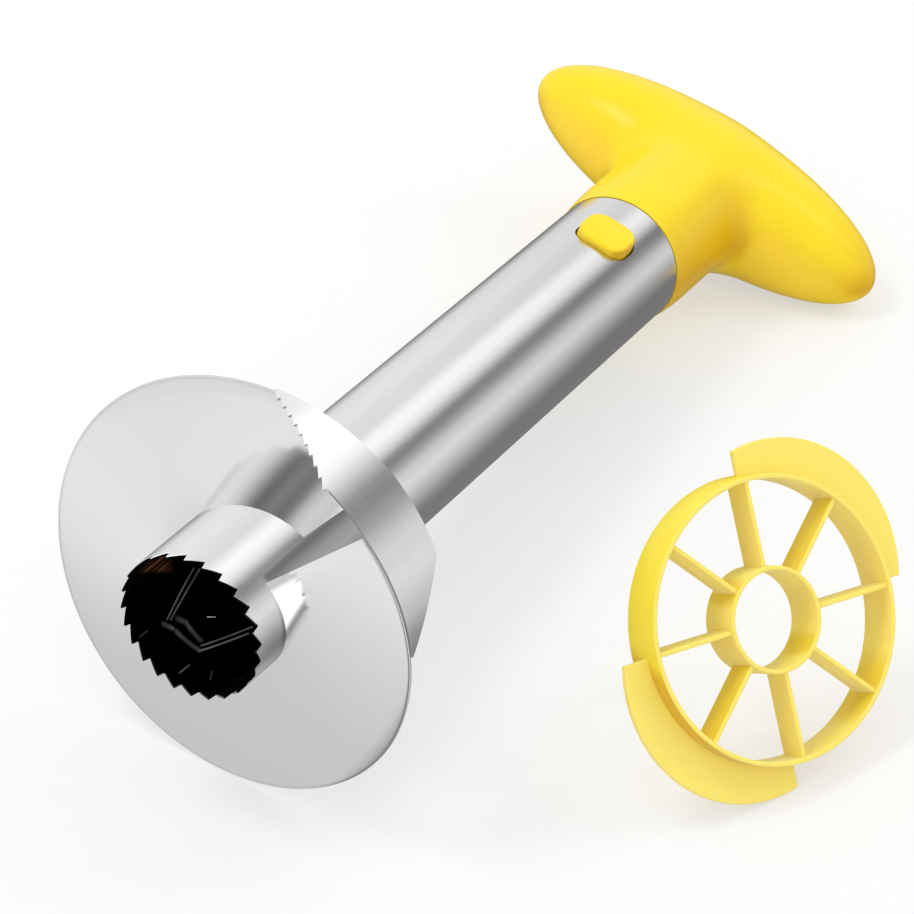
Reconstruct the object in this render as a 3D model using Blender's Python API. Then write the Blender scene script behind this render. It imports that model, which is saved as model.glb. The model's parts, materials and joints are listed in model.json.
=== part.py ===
"""A pineapple corer slicer lying on a worktop, with its wedge ring beside it.

The corer is modelled upright about its own axis: the tube's axis is local Z, with the
toothed mouth at the low end and the handle at the high end, local X points out of the
release button that shows, and local Y runs along the handle's bar. A parent empty lays
it down on the rim of its blade and the bar of its handle.

The wedge ring is modelled flat about its own axis and stood up by a second empty.
"""

from math import asin, atan2, cos, hypot, pi, radians, sin, sqrt

import bmesh
import bpy
from mathutils import Matrix, Vector

# Clearances and the overrun of every cut
FIT_GAP = 0.0003
CUT_OVERRUN = 0.002

# Coring tube
TUBE_RADIUS = 0.01625
TUBE_WALL = 0.0006
MOUTH_Z = -0.0066
TUBE_SHOWN_END_Z = 0.1778
TUBE_SEAT_DEPTH = 0.006
MOUTH_TOOTH_COUNT = 24
MOUTH_TOOTH_DEPTH = 0.002
MOUTH_TOOTH_TURN_SHARE = 0.46
TOOTH_STEPS_SHARE = (0.0, 0.12, 0.41, 0.70)

# Spiral slicing blade
BLADE_RADIUS = 0.045
SHEET_THICKNESS = 0.0006
BLADE_RISE = 0.0165
LEAD_EDGE_Z = 0.0022
LEAD_EDGE_ANGLE = radians(31.5)
SLIT_ANGLE = radians(7.0)
BLADE_SEGMENTS = 108

# Toothed wall that stands on the rim of the blade across its slit
WALL_TOOTH_START_ANGLE = radians(-12.0)
WALL_TOOTH_END_ANGLE = radians(16.5)
WALL_BACK_END_ANGLE = radians(47.0)
WALL_END_ANGLE = radians(66.0)
WALL_TOOTH_COUNT = 10
WALL_PLAIN_STEPS = 24
WALL_TOOTH_DEPTH = 0.001
WALL_RIM_LIP = 0.0004
WALL_THICKNESS = 0.00045

# Handle
STEM_LENGTH = 0.0483
BAR_CENTRE_Z = TUBE_SHOWN_END_Z + STEM_LENGTH
BAR_HALF_LENGTH = 0.0497
BAR_RADIUS = 0.017
STEM_RADIUS = 0.0172
STEM_BLEND = 0.008
STEM_TOP_DROP = 0.008
HANDLE_SEGMENTS = 60
HANDLE_RINGS = 38

# Release buttons
BUTTON_SET_BACK = 0.0168
BUTTON_Z = TUBE_SHOWN_END_Z - BUTTON_SET_BACK
BUTTON_LENGTH = 0.0118
BUTTON_WIDTH = 0.0126
BUTTON_CORNER = 0.0044
BUTTON_PROUD = 0.0016
BUTTON_TRAVEL = 0.0038
BUTTON_EDGE = 0.0005
BUTTON_FLANGE = 0.0014
BUTTON_FLANGE_THICKNESS = 0.0015
BUTTON_STOP_SHARE = 0.985
BUTTON_CORNER_STEPS = 6
WINDOW_GAP = 0.0005

# Plug that joins the handle to the tube
PLUG_FRONT_REACH = 0.015
PLUG_FRONT_Z = BUTTON_Z - PLUG_FRONT_REACH
PLUG_STEM_REACH = 0.0222
PLUG_BACK_Z = TUBE_SHOWN_END_Z + PLUG_STEM_REACH
PLUG_WALL = 0.0022
PLUG_FRONT_THICKNESS = 0.002
PLUG_BACK_THICKNESS = 0.012
PLUG_WEB_CORE = 0.001

# Button springs
SPRING_RADIUS = 0.0026
SPRING_WIRE = 0.0005
SPRING_TURNS = 5
SPRING_ENTRY = 0.0004
SPRING_POINTS_PER_TURN = 10

# Screw through the handle, and the cap that hides it
SCREW_SHANK_RADIUS = 0.002
SCREW_HEAD_RADIUS = 0.0042
SCREW_HEAD_HEIGHT = 0.0024
SCREW_HEAD_SET_BACK = 0.0041
SCREW_HEAD_Z = BAR_CENTRE_Z - SCREW_HEAD_SET_BACK
SCREW_BITE = 0.009
SCREW_SLOT_WIDTH = 0.001
SCREW_SLOT_DEPTH = 0.001
CAP_RADIUS = 0.006
CAP_THICKNESS = 0.003
CAP_CROWN = 0.0011
CAP_DOME_STEPS = 5

# Wedge ring
RING_RADIUS = 0.0302
RING_DEPTH = 0.0098
RING_WALL = 0.00105
HUB_RADIUS = 0.0112
HUB_WALL = 0.00095
SPOKE_COUNT = 8
SPOKE_THICKNESS = 0.001
SPOKE_FRONT_SET_BACK = 0.0006
SPOKE_BACK_DEPTH = 0.0074
GRIP_REACH = 0.0092
GRIP_ARC_RADIUS = 0.029
GRIP_THICKNESS = 0.0014
GRIP_HALF_ANGLE = radians(44.0)

# How the two things lie
TOOL_ROLL = radians(17.55)
RING_PLACE_X = 0.0936
RING_PLACE_Y = 0.06985
RING_FACING_X_SHARE = 0.759
RING_FACING_Y_SHARE = -0.337
RING_FACING_Z_SHARE = 0.557
RING_SPIN = radians(-53.0)

ROUND_SEGMENTS = 72
SMALL_SEGMENTS = 32
SMOOTH_ANGLE = radians(32)

STEEL = ((0.62, 0.63, 0.64, 1.0), 0.22, 1.0)
SCREW_STEEL = ((0.42, 0.42, 0.43, 1.0), 0.35, 1.0)
YELLOW = ((0.93, 0.70, 0.03, 1.0), 0.32, 0.0)
PLUG_YELLOW = ((0.90, 0.66, 0.04, 1.0), 0.45, 0.0)


def clear_scene():
    for old in list(bpy.data.objects):
        bpy.data.objects.remove(old, do_unlink=True)


def material(name, look):
    colour, roughness, metallic = look
    made = bpy.data.materials.new(name)
    made.use_nodes = True
    shader = made.node_tree.nodes["Principled BSDF"]
    shader.inputs["Base Color"].default_value = colour
    shader.inputs["Roughness"].default_value = roughness
    shader.inputs["Metallic"].default_value = metallic
    return made


def add_object(name, mesh, look=None, parent=None, place=(0, 0, 0)):
    made = bpy.data.objects.new(name, mesh)
    bpy.context.scene.collection.objects.link(made)
    made.location = place
    made.parent = parent
    if look:
        mesh.materials.append(material(name + "_material", look))
    return made


def add_cutter(name, mesh, parent, place=(0, 0, 0)):
    cutter = add_object(name, mesh, None, parent, place)
    cutter.hide_render = True
    cutter.display_type = "WIRE"
    return cutter


def boolean(piece, other, operation):
    change = piece.modifiers.new(operation.title() + "_" + other.name, "BOOLEAN")
    change.operation = operation
    change.solver = "EXACT"
    change.object = other


def mesh_from(name, shape, smooth=True):
    bmesh.ops.recalc_face_normals(shape, faces=shape.faces)
    mesh = bpy.data.meshes.new(name)
    shape.to_mesh(mesh)
    shape.free()
    if smooth:
        mesh.shade_smooth()
        mesh.set_sharp_from_angle(angle=SMOOTH_ANGLE)
    return mesh


def loft(name, loops, closed_tube=False):
    """A closed solid through loops of equal count: capped at both ends, or joined end to end."""
    shape = bmesh.new()
    rings = [[shape.verts.new(point) for point in loop] for loop in loops]
    count = len(rings[0])
    pairs = list(zip(rings, rings[1:]))
    if closed_tube:
        pairs.append((rings[-1], rings[0]))
    for low, high in pairs:
        for i in range(count):
            j = (i + 1) % count
            shape.faces.new((low[i], low[j], high[j], high[i]))
    if not closed_tube:
        shape.faces.new(rings[0])
        shape.faces.new(rings[-1])
    return mesh_from(name, shape)


def circle(radius, height, segments):
    turns = (2 * pi * i / segments for i in range(segments))
    return [Vector((radius * cos(turn), radius * sin(turn), height)) for turn in turns]


def turned(name, profile, segments):
    """A solid of revolution about Z from (radius, height) points that close on themselves."""
    return loft(name, [circle(r, z, segments) for r, z in profile], closed_tube=True)


def rod(name, profile, segments):
    """A turned solid without a bore: both ends are flat caps."""
    return loft(name, [circle(r, z, segments) for r, z in profile])


def rounded_rectangle(length, width, corner, steps):
    """Corner points of a rounded rectangle, as (along, across) pairs, counterclockwise."""
    centres = [
        (length / 2 - corner, width / 2 - corner),
        (corner - length / 2, width / 2 - corner),
        (corner - length / 2, corner - width / 2),
        (length / 2 - corner, corner - width / 2),
    ]
    points = []
    for quarter, (along, across) in enumerate(centres):
        for step in range(steps + 1):
            turn = (quarter + step / steps) * pi / 2
            points.append((along + corner * cos(turn), across + corner * sin(turn)))
    return points


def tube_tooth_profile():
    """(angle, height) along the mouth: each tooth has a steep leading flank and a long back."""
    pitch = 2 * pi / MOUTH_TOOTH_COUNT
    flank_share = TOOTH_STEPS_SHARE[1]
    profile = []
    for tooth in range(MOUTH_TOOTH_COUNT):
        for share in TOOTH_STEPS_SHARE:
            if share < flank_share:
                depth_share = 1.0
            else:
                depth_share = (share - flank_share) / (1 - flank_share)
            angle = pitch * (tooth + share + MOUTH_TOOTH_TURN_SHARE)
            profile.append((angle, MOUTH_Z + MOUTH_TOOTH_DEPTH * depth_share))
    return profile


def make_tube(tool):
    end_z = TUBE_SHOWN_END_Z + TUBE_SEAT_DEPTH
    profile = tube_tooth_profile()

    def loop(radius, height=None):
        return [
            Vector((radius * cos(turn), radius * sin(turn), z if height is None else height))
            for turn, z in profile
        ]

    inner = TUBE_RADIUS - TUBE_WALL
    loops = [loop(TUBE_RADIUS), loop(TUBE_RADIUS, end_z), loop(inner, end_z), loop(inner)]
    tube = add_object("core_tube", loft("core_tube", loops, closed_tube=True), STEEL, tool)
    window = [(across, BUTTON_Z + along) for along, across in window_outline()]
    windows = both_sides("tube_window", window, TUBE_RADIUS / 2, TUBE_RADIUS + CUT_OVERRUN)
    boolean(tube, add_cutter("tube_window_cutter", windows, tool), "DIFFERENCE")
    return tube


def window_outline():
    """The outline of a button with its gap, as (along, across) pairs."""
    return rounded_rectangle(
        BUTTON_LENGTH + 2 * WINDOW_GAP,
        BUTTON_WIDTH + 2 * WINDOW_GAP,
        BUTTON_CORNER + WINDOW_GAP,
        BUTTON_CORNER_STEPS,
    )


def blade_height(angle):
    """Height of the spiral sheet's front face at an angle counted on from the leading edge."""
    return LEAD_EDGE_Z + BLADE_RISE * (angle - LEAD_EDGE_ANGLE) / (2 * pi - SLIT_ANGLE)


def make_spiral_blade(tool):
    inner = TUBE_RADIUS + FIT_GAP
    sweep = 2 * pi - SLIT_ANGLE
    loops = []
    for step in range(BLADE_SEGMENTS + 1):
        angle = LEAD_EDGE_ANGLE + sweep * step / BLADE_SEGMENTS
        low = blade_height(angle)
        high = low + SHEET_THICKNESS
        side = Vector((cos(angle), sin(angle), 0))
        corners = ((inner, low), (BLADE_RADIUS, low), (BLADE_RADIUS, high), (inner, high))
        loops.append([side * r + Vector((0, 0, z)) for r, z in corners])
    return add_object("spiral_blade", loft("spiral_blade", loops), STEEL, tool)


def sheet_middle(angle):
    """Height of the middle of the spiral sheet's edge."""
    return blade_height(angle) + SHEET_THICKNESS / 2


def wall_back(angle):
    """Back edge of the toothed wall: along the sheet's tail, level, then down to its front."""
    tail_end = LEAD_EDGE_ANGLE - SLIT_ANGLE
    if angle < tail_end:
        return sheet_middle(2 * pi + angle)
    top = sheet_middle(2 * pi + tail_end)
    if angle < WALL_BACK_END_ANGLE:
        return top
    share = (angle - WALL_BACK_END_ANGLE) / (WALL_END_ANGLE - WALL_BACK_END_ANGLE)
    return top + (sheet_middle(WALL_END_ANGLE) - top) * share


def wall_outline():
    """(angle, front height, back height) along the toothed wall, from its first tooth on."""
    tooth_span = (WALL_TOOTH_END_ANGLE - WALL_TOOTH_START_ANGLE) / WALL_TOOTH_COUNT
    start_front = sheet_middle(2 * pi + WALL_TOOTH_START_ANGLE) - SHEET_THICKNESS
    end_front = LEAD_EDGE_Z - WALL_RIM_LIP
    flank_share = TOOTH_STEPS_SHARE[1]

    def toothed_front(share):
        return start_front + (end_front - start_front) * share

    rows = []
    for tooth in range(WALL_TOOTH_COUNT):
        angle = WALL_TOOTH_START_ANGLE + tooth_span * tooth
        rows.append((angle, toothed_front(tooth / WALL_TOOTH_COUNT), wall_back(angle)))
        angle += tooth_span * (1 - flank_share)
        tip = toothed_front((tooth + 1 - flank_share) / WALL_TOOTH_COUNT) - WALL_TOOTH_DEPTH
        rows.append((angle, tip, wall_back(angle)))
    plain_span = WALL_END_ANGLE - WALL_TOOTH_END_ANGLE
    for step in range(WALL_PLAIN_STEPS + 1):
        angle = WALL_TOOTH_END_ANGLE + plain_span * step / WALL_PLAIN_STEPS
        front = max(end_front, blade_height(angle) - WALL_RIM_LIP)
        rows.append((angle, front, wall_back(angle)))
    return rows


def make_rim_blade(tool):
    inner = BLADE_RADIUS + FIT_GAP
    outer = inner + WALL_THICKNESS
    loops = []
    for angle, front, back in wall_outline():
        side = Vector((cos(angle), sin(angle), 0))
        corners = ((inner, front), (outer, front), (outer, back), (inner, back))
        loops.append([side * r + Vector((0, 0, z)) for r, z in corners])
    return add_object("rim_blade", loft("rim_blade", loops), STEEL, tool)


def bar_distance(point):
    """Signed distance, near enough, from the handle's bar, an ellipsoid about the local Y axis."""
    scaled = Vector((point.x / BAR_RADIUS, point.y / BAR_HALF_LENGTH, point.z / BAR_RADIUS))
    slope = Vector(
        (point.x / BAR_RADIUS**2, point.y / BAR_HALF_LENGTH**2, point.z / BAR_RADIUS**2)
    )
    return scaled.length * (scaled.length - 1) / slope.length


def stem_distance(point):
    """Signed distance from the round stem, whose domed top is buried in the bar."""
    above = max(point.z + STEM_TOP_DROP, 0.0)
    return sqrt(point.x**2 + point.y**2 + above**2) - STEM_RADIUS


def handle_distance(point):
    """The bar and the stem joined by a soft fillet."""
    bar = bar_distance(point)
    stem = stem_distance(point)
    mix = max(STEM_BLEND - abs(bar - stem), 0.0) / STEM_BLEND
    return min(bar, stem) - STEM_BLEND * mix * mix / 4


def handle_surface(direction):
    """The handle's surface point from the bar's centre in a direction, by halving steps."""
    low = BAR_RADIUS / 2
    high = BAR_HALF_LENGTH * 2
    for _ in range(40):
        middle = (low + high) / 2
        if handle_distance(direction * middle) < 0:
            low = middle
        else:
            high = middle
    return direction * low


def handle_direction(tilt, turn, collar_tilt):
    """A direction from the bar's centre; rows close up towards the ends of the bar."""
    share = min((tilt - collar_tilt) / (pi / 2 - collar_tilt), 1.0)
    stretch = 1 + (BAR_HALF_LENGTH / BAR_RADIUS - 1) * share
    flat = Vector((sin(tilt) * cos(turn), stretch * sin(tilt) * sin(turn), -cos(tilt)))
    return flat.normalized()


def make_handle(tool):
    collar_tilt = atan2(STEM_RADIUS, STEM_LENGTH)
    loops = []
    for ring in range(HANDLE_RINGS):
        tilt = collar_tilt + (pi - collar_tilt) * ring / HANDLE_RINGS
        loop = []
        for step in range(HANDLE_SEGMENTS):
            turn = 2 * pi * step / HANDLE_SEGMENTS
            surface = handle_surface(handle_direction(tilt, turn, collar_tilt))
            if ring == 0:
                surface = Vector((STEM_RADIUS * cos(turn), STEM_RADIUS * sin(turn), -STEM_LENGTH))
            loop.append(surface)
        loops.append(loop)
    mesh = loft("handle_body", loops)
    handle = add_object("handle_body", mesh, YELLOW, tool, (0, 0, BAR_CENTRE_Z))

    start = TUBE_SHOWN_END_Z - CUT_OVERRUN
    seat = TUBE_SHOWN_END_Z + TUBE_SEAT_DEPTH + FIT_GAP
    plug_bore = plug_radius() + FIT_GAP
    screw_bore = SCREW_SHANK_RADIUS + FIT_GAP
    head_bore = SCREW_HEAD_RADIUS + FIT_GAP
    back = BAR_CENTRE_Z + STEM_RADIUS + CUT_OVERRUN * 2
    bore = [
        (TUBE_RADIUS + FIT_GAP, start),
        (TUBE_RADIUS + FIT_GAP, seat),
        (plug_bore, seat),
        (plug_bore, PLUG_BACK_Z + FIT_GAP),
        (screw_bore, PLUG_BACK_Z + FIT_GAP),
        (screw_bore, SCREW_HEAD_Z - FIT_GAP),
        (head_bore, SCREW_HEAD_Z - FIT_GAP),
        (head_bore, cap_seat_z() - FIT_GAP),
        (CAP_RADIUS + FIT_GAP, cap_seat_z() - FIT_GAP),
        (CAP_RADIUS + FIT_GAP, back),
    ]
    cutter = add_cutter("handle_bore_cutter", rod("handle_bore", bore, ROUND_SEGMENTS), tool)
    boolean(handle, cutter, "DIFFERENCE")
    return handle


def plug_radius():
    return TUBE_RADIUS - TUBE_WALL - FIT_GAP


def plug_cavity_radius():
    return plug_radius() - PLUG_WALL


def handle_back_z():
    return BAR_CENTRE_Z + handle_surface(Vector((0, 0, 1))).z


def cap_seat_z():
    return handle_back_z() - CAP_THICKNESS


def plug_web_half():
    """Half the web: a thin core, and on each side a pocket that takes the button's travel."""
    return PLUG_WEB_CORE / 2 + BUTTON_TRAVEL + FIT_GAP + SPRING_ENTRY


def make_plug(tool):
    front_in = PLUG_FRONT_Z + PLUG_FRONT_THICKNESS
    back_in = PLUG_BACK_Z - PLUG_BACK_THICKNESS
    bore = SCREW_SHANK_RADIUS + FIT_GAP
    core = plug_cavity_radius()
    profile = [
        (plug_radius(), PLUG_FRONT_Z),
        (plug_radius(), PLUG_BACK_Z),
        (bore, PLUG_BACK_Z),
        (bore, back_in),
        (core, back_in),
        (core, front_in),
        (bore, front_in),
        (bore, PLUG_FRONT_Z),
    ]
    plug = add_object("handle_plug", turned("handle_plug", profile, ROUND_SEGMENTS), PLUG_YELLOW, tool)

    half = plug_web_half()
    reach = plug_cavity_radius()
    low = PLUG_FRONT_Z + PLUG_FRONT_THICKNESS / 2
    high = BUTTON_Z + BUTTON_LENGTH
    outline = [(-half, -reach), (half, -reach), (half, reach), (-half, reach)]
    loops = [[Vector((x, y, z)) for x, y in outline] for z in (low, high)]
    web = add_cutter("plug_web", loft("plug_web", loops), tool)
    boolean(plug, web, "UNION")

    window = [(across, BUTTON_Z + along) for along, across in window_outline()]
    windows = both_sides("plug_window", window, plug_cavity_radius() / 2, TUBE_RADIUS + CUT_OVERRUN)
    boolean(plug, add_cutter("plug_window_cutter", windows, tool), "DIFFERENCE")
    pocket_radius = SPRING_RADIUS + SPRING_WIRE / 2 + FIT_GAP
    pocket = [(point.x, BUTTON_Z + point.y) for point in circle(pocket_radius, 0, SMALL_SEGMENTS)]
    pockets = both_sides("plug_pocket", pocket, PLUG_WEB_CORE / 2, half + CUT_OVERRUN)
    boolean(plug, add_cutter("plug_pocket_cutter", pockets, tool), "DIFFERENCE")
    return plug


def both_sides(name, outline, near, far):
    """Two bars along X, mirror images across the tube's axis, from (y, z) outline points."""
    shape = bmesh.new()
    for side in (-1, 1):
        rings = [[shape.verts.new((side * x, y, z)) for y, z in outline] for x in (near, far)]
        count = len(outline)
        for i in range(count):
            j = (i + 1) % count
            shape.faces.new((rings[0][i], rings[0][j], rings[1][j], rings[1][i]))
        shape.faces.new(rings[0])
        shape.faces.new(rings[1])
    return mesh_from(name, shape, smooth=False)


def flange_outer_x():
    """Where the flange's outer face stops: its side edges meet the wall of the plug."""
    half = BUTTON_WIDTH / 2 + BUTTON_FLANGE
    return sqrt(plug_cavity_radius() ** 2 - half**2) * BUTTON_STOP_SHARE


def button_mesh():
    """A rounded head on a wider flange, pointing along X, with its origin on the tube's axis."""
    top = TUBE_RADIUS + BUTTON_PROUD
    step = flange_outer_x()
    floor_x = step - BUTTON_FLANGE_THICKNESS

    def ring(x, grow):
        outline = rounded_rectangle(
            BUTTON_LENGTH + 2 * grow,
            BUTTON_WIDTH + 2 * grow,
            BUTTON_CORNER + grow,
            BUTTON_CORNER_STEPS,
        )
        return [Vector((x, across, along)) for along, across in outline]

    loops = [
        ring(floor_x, BUTTON_FLANGE),
        ring(step, BUTTON_FLANGE),
        ring(step, 0),
        ring(top - BUTTON_EDGE, 0),
        ring(top - BUTTON_EDGE / 4, -BUTTON_EDGE / 4),
        ring(top, -BUTTON_EDGE),
    ]
    return loft("release_button", loops)


def make_button(tool, name, turn):
    button = add_object(name, button_mesh(), YELLOW, tool, (0, 0, BUTTON_Z))
    button.rotation_euler = (0, 0, turn)
    return button


def make_spring(tool, name, turn):
    """A coil from the mouth of the plug's pocket to the button's flange, round the button's axis."""
    wire = SPRING_WIRE / 2
    start = plug_web_half() - SPRING_ENTRY + wire
    end = flange_outer_x() - BUTTON_FLANGE_THICKNESS - wire - FIT_GAP
    curve = bpy.data.curves.new(name, "CURVE")
    curve.dimensions = "3D"
    curve.bevel_depth = wire
    curve.bevel_resolution = 1
    curve.use_fill_caps = True
    spline = curve.splines.new("POLY")
    count = SPRING_TURNS * SPRING_POINTS_PER_TURN + 1
    spline.points.add(count - 1)
    for i in range(count):
        angle = 2 * pi * i / SPRING_POINTS_PER_TURN
        x = start + (end - start) * i / (count - 1)
        spline.points[i].co = (x, SPRING_RADIUS * cos(angle), SPRING_RADIUS * sin(angle), 1)
    spring = add_object(name, curve, None, tool, (0, 0, BUTTON_Z))
    spring.rotation_euler = (0, 0, turn)
    curve.materials.append(material(name + "_material", SCREW_STEEL))
    return spring


def make_screw(tool):
    tip_z = PLUG_BACK_Z - SCREW_BITE
    profile = [
        (SCREW_SHANK_RADIUS, tip_z),
        (SCREW_SHANK_RADIUS, SCREW_HEAD_Z),
        (SCREW_HEAD_RADIUS, SCREW_HEAD_Z),
        (SCREW_HEAD_RADIUS, SCREW_HEAD_Z + SCREW_HEAD_HEIGHT),
    ]
    screw = add_object("handle_screw", rod("handle_screw", profile, SMALL_SEGMENTS), SCREW_STEEL, tool)
    half = SCREW_SLOT_WIDTH / 2
    reach = SCREW_HEAD_RADIUS + CUT_OVERRUN
    top = SCREW_HEAD_Z + SCREW_HEAD_HEIGHT
    outline = [(-half, -reach), (half, -reach), (half, reach), (-half, reach)]
    loops = [[Vector((x, y, z)) for x, y in outline] for z in (top - SCREW_SLOT_DEPTH, top + CUT_OVERRUN)]
    slot = add_cutter("screw_slot_cutter", loft("screw_slot", loops), tool)
    boolean(screw, slot, "DIFFERENCE")
    return screw


def make_cap(tool):
    seat = cap_seat_z()
    edge = seat + CAP_THICKNESS - CAP_CROWN
    profile = [(CAP_RADIUS, seat)]
    for step in range(CAP_DOME_STEPS):
        lift = pi / 2 * step / CAP_DOME_STEPS
        profile.append((CAP_RADIUS * cos(lift), edge + CAP_CROWN * sin(lift)))
    return add_object("screw_cap", rod("screw_cap", profile, ROUND_SEGMENTS), YELLOW, tool)


def band(name, outer, wall, depth, parent):
    """A plain ring whose front face is at height zero and whose back is one depth below."""
    inner = outer - wall
    profile = [(outer, -depth), (outer, 0), (inner, 0), (inner, -depth)]
    return add_object(name, turned(name, profile, ROUND_SEGMENTS), YELLOW, parent)


def make_spoke(index, parent):
    near = HUB_RADIUS + FIT_GAP
    far = RING_RADIUS - RING_WALL - FIT_GAP
    half = SPOKE_THICKNESS / 2
    outline = [(near, -half), (far, -half), (far, half), (near, half)]
    loops = [[Vector((x, y, z)) for x, y in outline] for z in (-SPOKE_BACK_DEPTH, -SPOKE_FRONT_SET_BACK)]
    name = f"wedge_spoke_{index + 1}"
    spoke = add_object(name, loft(name, loops), YELLOW, parent)
    spoke.rotation_euler = (0, 0, 2 * pi * index / SPOKE_COUNT)
    return spoke


def make_grip(name, turn, parent):
    """A crescent flange on the ring's side: a plate between the ring and an offset arc."""
    inner = RING_RADIUS + FIT_GAP
    offset = RING_RADIUS + GRIP_REACH - GRIP_ARC_RADIUS
    steps = 20
    inside = []
    outside = []
    for step in range(steps + 1):
        angle = GRIP_HALF_ANGLE * (2 * step / steps - 1)
        inside.append((inner * cos(angle), inner * sin(angle)))
        reach = offset * cos(angle) + sqrt(GRIP_ARC_RADIUS**2 - (offset * sin(angle)) ** 2)
        outside.append((reach * cos(angle), reach * sin(angle)))
    middle = -RING_DEPTH / 2
    half = GRIP_THICKNESS / 2
    outline = outside + inside[::-1]
    loops = [[Vector((x, y, z)) for x, y in outline] for z in (middle - half, middle + half)]
    grip = add_object(name, loft(name, loops), YELLOW, parent)
    grip.rotation_euler = (0, 0, turn)
    return grip


def make_wedge_ring(stand):
    band("wedge_rim", RING_RADIUS, RING_WALL, RING_DEPTH, stand)
    band("wedge_hub", HUB_RADIUS, HUB_WALL, RING_DEPTH, stand)
    for index in range(SPOKE_COUNT):
        make_spoke(index, stand)
    make_grip("wedge_grip_low", 0, stand)
    make_grip("wedge_grip_high", pi, stand)


def bar_support():
    """How far the handle's bar reaches below its own centre when the corer lies at its roll."""
    return hypot(BAR_HALF_LENGTH * sin(TOOL_ROLL), BAR_RADIUS * cos(TOOL_ROLL))


def resting_tilt():
    """The slope of the axis that lets the blade's rim and the handle's bar both touch."""
    blade_middle = LEAD_EDGE_Z + BLADE_RISE / 2
    run = BAR_CENTRE_Z - blade_middle
    lean = asin((BLADE_RADIUS - bar_support()) / hypot(run, BLADE_RADIUS))
    for _ in range(20):
        drop = BLADE_RADIUS * cos(lean) - bar_support()
        lean = asin(drop / run)
    return -lean


def lay_tool(tool, ground):
    """Axis along +Y and sloping down to the handle, button up, rolled towards +X."""
    tilt = resting_tilt()
    axis = Vector((0, cos(tilt), sin(tilt)))
    side = Vector((1, 0, 0))
    up = side.cross(axis)
    button = up * cos(TOOL_ROLL) + side * sin(TOOL_ROLL)
    bar = axis.cross(button)
    turn = Matrix((button, bar, axis)).transposed().to_4x4()
    tool.matrix_basis = turn
    tool.parent = ground


def stand_ring(stand, ground):
    """Front face turned towards the viewer and leant back, one grip on the worktop."""
    facing = Vector((RING_FACING_X_SHARE, RING_FACING_Y_SHARE, RING_FACING_Z_SHARE)).normalized()
    level = Vector((0, 0, 1)).cross(facing).normalized()
    high = facing.cross(level)
    turn = Matrix((level, high, facing)).transposed().to_4x4()
    spin = Matrix.Rotation(RING_SPIN - pi / 2, 4, "Z")
    stand.matrix_basis = Matrix.Translation((RING_PLACE_X, RING_PLACE_Y, 0)) @ turn @ spin
    stand.parent = ground


def shown_corners(parent):
    """World points of every shown solid below an empty."""
    graph = bpy.context.evaluated_depsgraph_get()
    points = []
    for piece in parent.children_recursive:
        if piece.type in {"MESH", "CURVE"} and not piece.hide_render:
            seen = piece.evaluated_get(graph)
            mesh = seen.to_mesh()
            points.extend(seen.matrix_world @ vertex.co for vertex in mesh.vertices)
            seen.to_mesh_clear()
    return points


def settle(empty):
    """Brings an empty's solids down, or up, onto the worktop at height zero."""
    bpy.context.view_layer.update()
    lowest = min(point.z for point in shown_corners(empty))
    empty.location.z -= lowest
    bpy.context.view_layer.update()


def centre(ground):
    """Puts the middle of the whole part's base at the origin."""
    points = shown_corners(ground)
    for axis in (0, 1):
        values = [point[axis] for point in points]
        ground.location[axis] = -(min(values) + max(values)) / 2
    bpy.context.view_layer.update()


def main():
    clear_scene()
    ground = add_object("ground", None)
    tool = add_object("corer", None)
    stand = add_object("wedge_ring_stand", None)

    make_tube(tool)
    make_spiral_blade(tool)
    make_rim_blade(tool)
    make_handle(tool)
    make_plug(tool)
    make_button(tool, "release_button_top", 0)
    make_button(tool, "release_button_bottom", pi)
    make_spring(tool, "button_spring_top", 0)
    make_spring(tool, "button_spring_bottom", pi)
    make_screw(tool)
    make_cap(tool)
    make_wedge_ring(stand)

    lay_tool(tool, ground)
    stand_ring(stand, ground)
    settle(tool)
    settle(stand)
    centre(ground)


main()
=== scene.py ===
import json
from math import atan2, cos, pi, radians, sin, sqrt

import bmesh
import bpy
from mathutils import Matrix, Vector

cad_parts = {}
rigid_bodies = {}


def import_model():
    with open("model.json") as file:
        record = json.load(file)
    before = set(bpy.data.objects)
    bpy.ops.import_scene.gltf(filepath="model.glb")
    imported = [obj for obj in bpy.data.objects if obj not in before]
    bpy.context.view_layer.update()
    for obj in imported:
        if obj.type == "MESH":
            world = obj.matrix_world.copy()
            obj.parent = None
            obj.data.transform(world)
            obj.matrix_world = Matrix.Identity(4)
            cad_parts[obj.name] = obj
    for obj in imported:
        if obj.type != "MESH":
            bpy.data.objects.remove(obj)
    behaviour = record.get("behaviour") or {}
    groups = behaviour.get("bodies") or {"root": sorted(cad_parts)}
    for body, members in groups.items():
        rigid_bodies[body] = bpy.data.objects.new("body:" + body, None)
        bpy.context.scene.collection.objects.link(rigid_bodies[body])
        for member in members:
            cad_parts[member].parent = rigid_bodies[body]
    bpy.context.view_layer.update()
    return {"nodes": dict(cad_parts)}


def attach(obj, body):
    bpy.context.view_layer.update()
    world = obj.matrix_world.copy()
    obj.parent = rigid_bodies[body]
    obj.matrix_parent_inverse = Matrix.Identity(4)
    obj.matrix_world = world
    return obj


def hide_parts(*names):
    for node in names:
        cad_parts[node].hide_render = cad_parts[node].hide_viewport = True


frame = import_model()

# Where the corer lies: its origin is just behind the mouth's teeth, its axis runs to the handle
TOOL_ORIGIN = Vector((-0.032802, -0.116823, 0.045795))
TOOL_TILT = radians(6.036)
TOOL_ROLL = radians(17.55)
TOOL_AXIS = Vector((0, cos(TOOL_TILT), -sin(TOOL_TILT)))
TOOL_UP = Vector((0, sin(TOOL_TILT), cos(TOOL_TILT)))
BUTTON_WAY = TOOL_UP * cos(TOOL_ROLL) + Vector((sin(TOOL_ROLL), 0, 0))
BAR_WAY = TOOL_AXIS.cross(BUTTON_WAY)

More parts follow.
